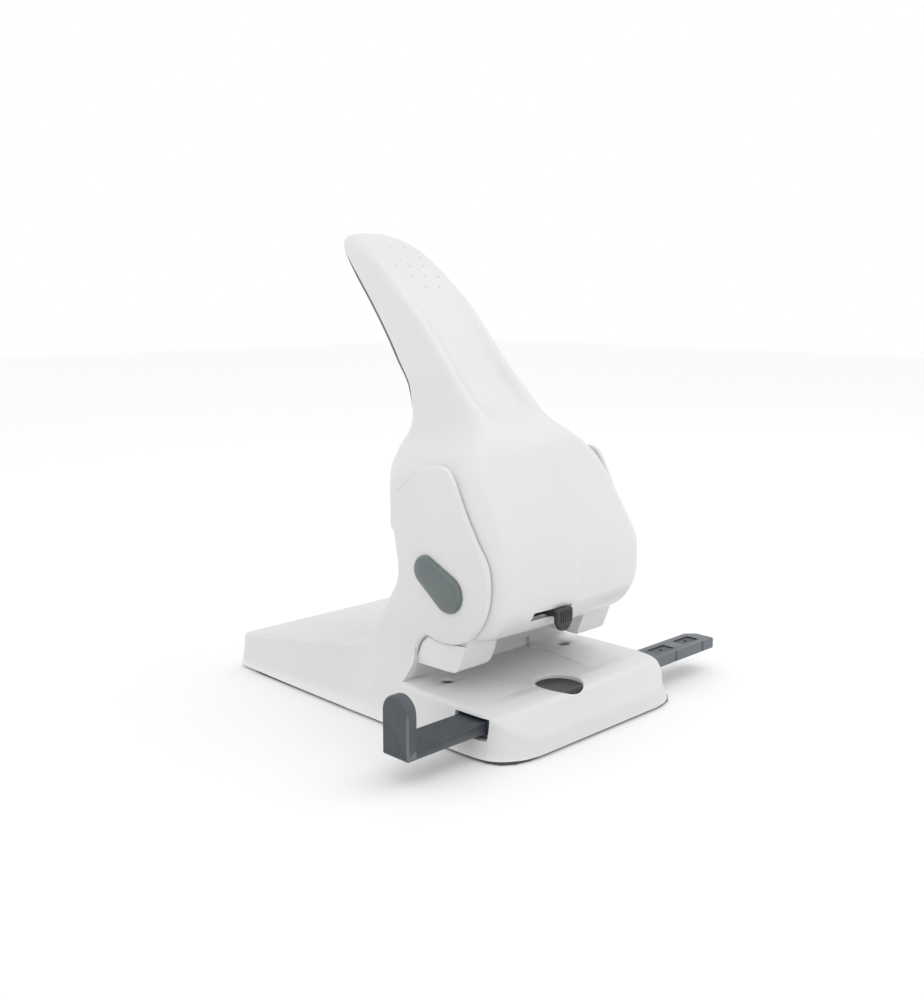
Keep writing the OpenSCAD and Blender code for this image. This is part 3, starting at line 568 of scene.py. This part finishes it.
# section of the head or handle at one height
def headRing(z, inset=0.0, back=0.0, detail=True):
    _, front, rear, width, ra, rb, bow = smoothRow(headRows, z)
    front, rear, width = front + inset, rear - inset - back, width - inset
    grip = ease(z, 136, 146) * (1 - ease(z, 186, 204))
    ra, rb = max(1.2, ra - inset), max(1.2, rb - inset)
    if detail:
        ra *= 1 - (1 - head["rimSharp"]) * grip
    ra, rb = (min(r, width * 0.9, (rear - front) * 0.48) for r in (ra, rb))
    scoop = head["scoop"] * ease(z, 134, 143) * (1 - 0.55 * ease(z, 150, 175)) * (1 - ease(z, 180, 202))
    crease = head["crease"] * ease(z, 57, 62) * (1 - ease(z, 72, 81)) if detail else 0
    ring = []
    across = sorted(set(np.linspace(-1, 1, 25).round(4)) | {-0.105, -0.095, -0.0733, -0.05, -0.035})
    for t in across:
        x = (width - ra) * t
        y = front + bow * (1 - t * t) + scoop * ease(1 - abs(t), 0.0, 0.4)
        y += crease * ease(x, head["creaseAt"] - 0.7, head["creaseAt"] + 0.5) * (1 - ease(x, 2, 30))
        ring.append((x, y, z))
    for k in range(1, 9):
        t = math.pi / 2 * k / 9
        ring.append((width - ra + ra * math.sin(t), front + ra - ra * math.cos(t), z))
    for k in range(0, 8):
        t = math.pi / 2 * k / 7
        ring.append((width - rb + rb * math.cos(t), rear - rb + rb * math.sin(t), z))
    for k in range(0, 8):
        t = math.pi / 2 * k / 7
        ring.append((-width + rb - rb * math.sin(t), rear - rb + rb * math.cos(t), z))
    for k in range(1, 9):
        t = math.pi / 2 * k / 9
        ring.append((-width + ra - ra * math.cos(t), front + ra - ra * math.sin(t), z))
    return ring


def makeHeadCover():
    heights = np.concatenate([np.linspace(45.6, 56, 12), np.linspace(57.5, 105, 34),
                              np.linspace(106, 152, 44),
                              np.linspace(153.5, 206, 38), np.linspace(207, 221.4, 24)])
    cover = loft("headCover", [headRing(z) for z in heights])
    hollow = loft("hollow", [headRing(z, head["wall"], 0, False) for z in
                             np.concatenate([[44], np.linspace(45.7, 100, 40), np.linspace(101, 152, 36),
                                             np.linspace(153, 210, 30)])])
    seat = []
    for z in np.concatenate([np.linspace(head["seatFrom"], 150, 12), np.linspace(152, 214.5, 34)]):
        back, depth = smoothRow(headRows, z)[2], smoothRow(gripDepths, z)[1]
        seat.append([(-60, back - depth, z), (60, back - depth, z), (60, back + 9, z), (-60, back + 9, z)])
    side = plate("rearCut", head["rearCut"], -60, 60)
    x0, x1, z0, z1 = head["slot"]
    slot = block("lockSlot", (x0, -50, z0), (x1, -30, z1), 0.25, axis=1)
    r = head["shaftHole"]
    shaft = [turned("shaftCut", [(r, low), (r, low + 8)], head["pivot"], axis=0) for low in (44, -52)]
    cut(cover, hollow, loft("gripSeat", seat), side, slot, *shaft)
    cut(cover, dimples())
    shade(cover, 36)
    dress(cover, "lever", "coverWhite", "white_cover", "head_cover")
    print("head cover", len(cover.data.polygons))


# how far forward the handle is at a place
def frontOf(x, z):
    ring = np.array(headRing(z))
    front = ring[:30]
    return float(np.interp(x, front[:, 0], front[:, 1]))


# rows of small round dots near the end of the handle, as one cutting body
def dimples():
    points, faces = [], []
    for row, count in ((-2, 2), (-1, 3), (0, 4), (1, 3), (2, 2)):
        for i in range(count):
            x = head["dotCentre"][0] + (i - (count - 1) / 2) * head["dotPitch"][0]
            z = head["dotCentre"][1] + row * head["dotPitch"][1]
            slope = (frontOf(x, z + 1) - frontOf(x, z - 1)) / 2
            normal = np.array((0, -1, slope)) / math.hypot(1, slope)
            centre = np.array((x, frontOf(x, z), z)) + normal * 0.45
            start, rings, around = len(points), 7, 16
            for j in range(1, rings):
                a = math.pi * j / rings
                for k in range(around):
                    b = 2 * math.pi * k / around
                    points.append(centre + head["dot"] * np.array(
                        (math.sin(a) * math.cos(b), math.sin(a) * math.sin(b), math.cos(a))))
            faces.append([start + k for k in range(around)])
            for j in range(rings - 2):
                for k in range(around):
                    p, q = start + j * around, start + (j + 1) * around
                    faces.append([p + k, q + k, q + (k + 1) % around, p + (k + 1) % around])
            faces.append([start + (rings - 2) * around + k for k in reversed(range(around))])
    item = meshObject("dots", points, faces)
    outward(item)
    return item


def makeGripInsert():
    rings = []
    for z in np.concatenate([np.linspace(133.8, 150, 14), np.linspace(152, 211, 34),
                             np.linspace(212, 214.1, 3)]):
        _, front, rear, width, _, soft, _ = smoothRow(headRows, z)
        soft = min(soft, width * 0.9, (rear - front) * 0.48)
        depth = smoothRow(gripDepths, z)[1] - 0.12
        turn = math.acos(max(0, 1 - depth / soft))
        arc = [(width - soft + soft * math.sin(t), rear - soft + soft * math.cos(t))
               for t in np.linspace(turn, 0, 9)]
        middle = [((width - soft) * t, rear - head["rib"] * max(0, math.cos(z * 1.5)) ** 4 * (1 - t**8))
                  for t in np.linspace(0.95, -0.95, 15)]
        rings.append([(x, y, z) for x, y in arc + middle + [(-x, y) for x, y in arc[::-1]]])
    insert = loft("gripInsert", rings)
    shade(insert, 40)
    dress(insert, "lever", "gripGrey", "slate_grip", "grip_insert")


makeHeadCover()
makeGripInsert()
print("handle made")


guide = {"left": -101.2, "right": 111.6, "front": -41, "back": -25.7, "low": 10.7, "top": 16.3, "thick": 5.2,
         "round": 7.65, "edge": 0.7, "labels": ((69, 83), (91, 104)), "labelDepth": 0.5,
         "notches": (49.5, 58.5, 79, 102)}


def makeGuideBar():
    g = guide
    inset = 0.05  # keeps the bar's faces off the stop's
    bar = block("guideBar", (g["left"] + 3, g["front"] + inset, g["low"] + inset),
                (g["right"], g["back"] - inset, g["top"]), g["edge"], axis=0)
    middle, top = (g["front"] + g["back"]) / 2, g["low"] + 18.4
    path = [(g["front"], z) for z in np.linspace(top - 1, g["low"] + 0.6, 10)]
    path += [(y, g["low"]) for y in np.linspace(g["front"] + 0.6, g["back"] - 0.6, 8)]
    path += [(g["back"], z) for z in np.linspace(g["low"] + 0.6, top - 1, 10)]
    path += [(middle + g["round"] * math.cos(t), top + g["round"] * math.sin(t))
             for t in np.linspace(0, math.pi, 30)]
    stop = plate("endStop", path, g["left"] + g["thick"], g["left"], 0.8, 0.9)
    join(bar, stop)
    cuts = [block("labelCut", (a, g["front"] + 4, g["top"] - g["labelDepth"]),
                  (b, g["front"] + 11, g["top"] + 2), 0.8) for a, b in g["labels"]]
    for a, b in g["labels"]:
        middle = (a + b) / 2
        cuts.append(block("markCut", (middle - 1.2, g["front"] + 6.4, g["top"] - 0.9),
                          (middle + 1.2, g["front"] + 8.8, g["top"] + 1), 1.1))
    cuts += [turned("notch", [(0.9, 5), (0.9, 30)], (x, g["front"], 0), segments=24) for x in g["notches"]]
    corner = block("cornerCut", (0, 0, 0), (12, 12, 40), 0.01)
    turn = math.radians(45)
    for v in corner.data.vertices:
        x, y = v.co.x, v.co.y
        v.co.x = x * math.cos(turn) - y * math.sin(turn) + g["right"] * mm
        v.co.y = x * math.sin(turn) + y * math.cos(turn) + (g["back"] - 5) * mm
    cut(bar, *cuts, corner)
    shade(bar, 34)
    dress(bar, "guide", "guideGrey", "guide_grey", "guide_bar")


lock = {"x": -10.6, "face": -44.0, "back": -41.6, "edge": 0.6, "ribs": 5}


def makeLockSlider():
    x = lock["x"]
    right = [(4.2, 56.6), (5, 55.8), (5, 50.6), (4.4, 49.4), (2.6, 47), (1.8, 46.6)]
    path = roundPath([(x - 5, 55.8), (x - 4.2, 56.6)] + [(x + u, v) for u, v in right]
                     + [(x - u, v) for u, v in right[:1:-1]], 0.6)
    knob = plate("lockSlider", path, lock["back"], lock["face"], 0.2, lock["edge"], facing=1)
    neck = block("neck", (x - 4.8, -42, 53), (x + 4.8, -32.6, 56.4), 0.4, axis=1)
    strip = block("strip", (-27.4, -33.6, 52.4), (9.2, -31.4, 57.4), 0.4, axis=0)
    tooth = block("tooth", (-14.6, -31.6, 54.4), (-9.2, -29.2, 57.4), 0.4, axis=1)
    join(knob, neck, strip, tooth)
    grooves = [block("groove", (x - 3 + i * 1.5 - 0.28, -46, 50.4),
                     (x - 3 + i * 1.5 + 0.28, -43.6, 55.4), 0.28) for i in range(lock["ribs"])]
    cut(knob, *grooves)
    shade(knob, 36)
    dress(knob, "lock", "darkPlastic", "black_plastic", "lock_slider")


makeGuideBar()
makeLockSlider()
print("guide bar and lock made")


spring = {"low": 46.05, "high": 64.8, "turns": 4, "radius": 3.8, "wire": 0.5, "at": 40, "pressed": 0.275,
          "perTurn": 36, "around": 12}


def makeSpring(side, word):
    g, rings = spring, []
    for i in range(g["turns"] * g["perTurn"] + 1):
        a = 2 * math.pi * i / g["perTurn"]
        share = i / (g["turns"] * g["perTurn"])
        height = g["low"] + g["wire"] + (g["high"] - g["low"] - 2 * g["wire"]) * share
        ring = []
        for k in range(g["around"]):
            b = -2 * math.pi * k / g["around"]
            reach = g["radius"] + g["wire"] * math.cos(b)
            ring.append((side * g["at"] + reach * math.cos(a), reach * math.sin(a),
                         height + g["wire"] * math.sin(b)))
        rings.append(ring)
    item = loft(word + "Spring", rings)
    shade(item, 40)
    dress(item, "frame", "springSteel", "spring_steel", word + "_spring")
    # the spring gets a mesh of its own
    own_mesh(item)


makeSpring(-1, "left")
makeSpring(1, "right")
print("springs made")

# node: (material, width of its rounded edges in millimetres)
fittings = {
    "base_plate": ("zincSteel", 0.3), "die_plate": ("groundSteel", 0.25),
    "die_supports": ("zincSteel", 0.2), "left_upright": ("zincSteel", 0.3),
    "right_upright": ("zincSteel", 0.3), "crossbar": ("zincSteel", 0.4),
    "left_bracket": ("bracketWhite", 0.9), "right_bracket": ("bracketWhite", 0.9),
    "bracket_screws": ("zincSteel", 0.25), "base_screws": ("zincSteel", 0.2),
    "pivot_shaft": ("groundSteel", 0.3), "shaft_clips": ("springSteel", 0.1),
    "window_lens": ("clearWindow", 0.2), "guide_channel": ("darkPlastic", 0.3),
    "guide_detent": ("springSteel", 0.1), "scale_strip": ("maroonScale", 0.1),
    "tray_hinge_pins": ("zincSteel", 0.2), "rear_foot": ("footRubber", 0.3),
    "lock_catch": ("zincSteel", 0.3), "lever_frame": ("zincSteel", 0.3),
    "press_bar": ("groundSteel", 0.3), "lever_bushes": ("nylon", 0.2),
    "frame_screws": ("zincSteel", 0.2), "grip_screws": ("zincSteel", 0.2),
    "left_punch_pin": ("groundSteel", 0.15), "left_collar": ("zincSteel", 0.15),
    "right_punch_pin": ("groundSteel", 0.15), "right_collar": ("zincSteel", 0.15),
    "chip_tray": ("darkPlastic", 0.3), "tray_feet": ("footRubber", 0.25),
}
for name, (material, edge) in fittings.items():
    item = nodes[name]
    item.data.materials.clear()
    item.data.materials.append(materials[material])
    for polygon in item.data.polygons:
        polygon.material_index = 0
    if edge:
        flat = item.modifiers.new("flat", "DECIMATE")
        flat.decimate_type, flat.angle_limit = "DISSOLVE", math.radians(1)
        soft = item.modifiers.new("edges", "BEVEL")
        soft.width, soft.segments, soft.limit_method = edge * mm, 3, "ANGLE"
        soft.angle_limit, soft.use_clamp_overlap = math.radians(38), True
    shade(item, 38)
print("fittings finished:", len(fittings))


studio = {"floor": (0.955, 0.955, 0.96), "sky": 1.0, "key": 1.8, "keySize": 0.9, "fill": 0.3}
floorPiece = meshObject("floor", [(-3000, -3000, -0.02), (3000, -3000, -0.02), (3000, 3000, -0.02),
                                  (-3000, 3000, -0.02)], [[0, 1, 2, 3]])
paper = Finish("paperFloor")
tone = paper.noise(3, 3)
floorPiece.data.materials.append(paper.finish(
    paper.blend(tone, rgba(*studio["floor"]), rgba(0.965, 0.965, 0.965)), 0.7 + tone * 0.1))
world = bpy.data.worlds.new("studio")
bpy.context.scene.world = world
world.use_nodes = True
world.node_tree.nodes["Background"].inputs["Color"].default_value = (1, 1, 1, 1)
world.node_tree.nodes["Background"].inputs["Strength"].default_value = studio["sky"]
bpy.context.scene.view_settings.view_transform = "Standard"


def softbox(name, place, target, size, power):
    lamp = bpy.data.lights.new(name, "AREA")
    lamp.size, lamp.energy = size, power
    item = bpy.data.objects.new(name, lamp)
    collection.objects.link(item)
    item.location = place
    item.rotation_euler = (Vector(target) - Vector(place)).to_track_quat("-Z", "Y").to_euler()


softbox("key", (0.5, -0.2, 1.0), (0, 0.03, 0.08), studio["keySize"], studio["key"])
softbox("fill", (-0.9, 0.5, 0.7), (0, 0.03, 0.08), 0.8, studio["fill"])

view = {"place": (-0.38561, -0.35931, 0.19314), "down": 10.27, "turn": -44.63, "lens": 41.53, "sensor": 36}
eye = bpy.data.cameras.new("eye")
eye.sensor_width, eye.lens = view["sensor"], view["lens"]
eyePiece = bpy.data.objects.new("eye", eye)
collection.objects.link(eyePiece)
eyePiece.location = view["place"]
eyePiece.rotation_euler = (math.radians(90 - view["down"]), 0, math.radians(view["turn"]))
eye.clip_start, eye.clip_end = 0.02, 50
bpy.context.scene.camera = eyePiece
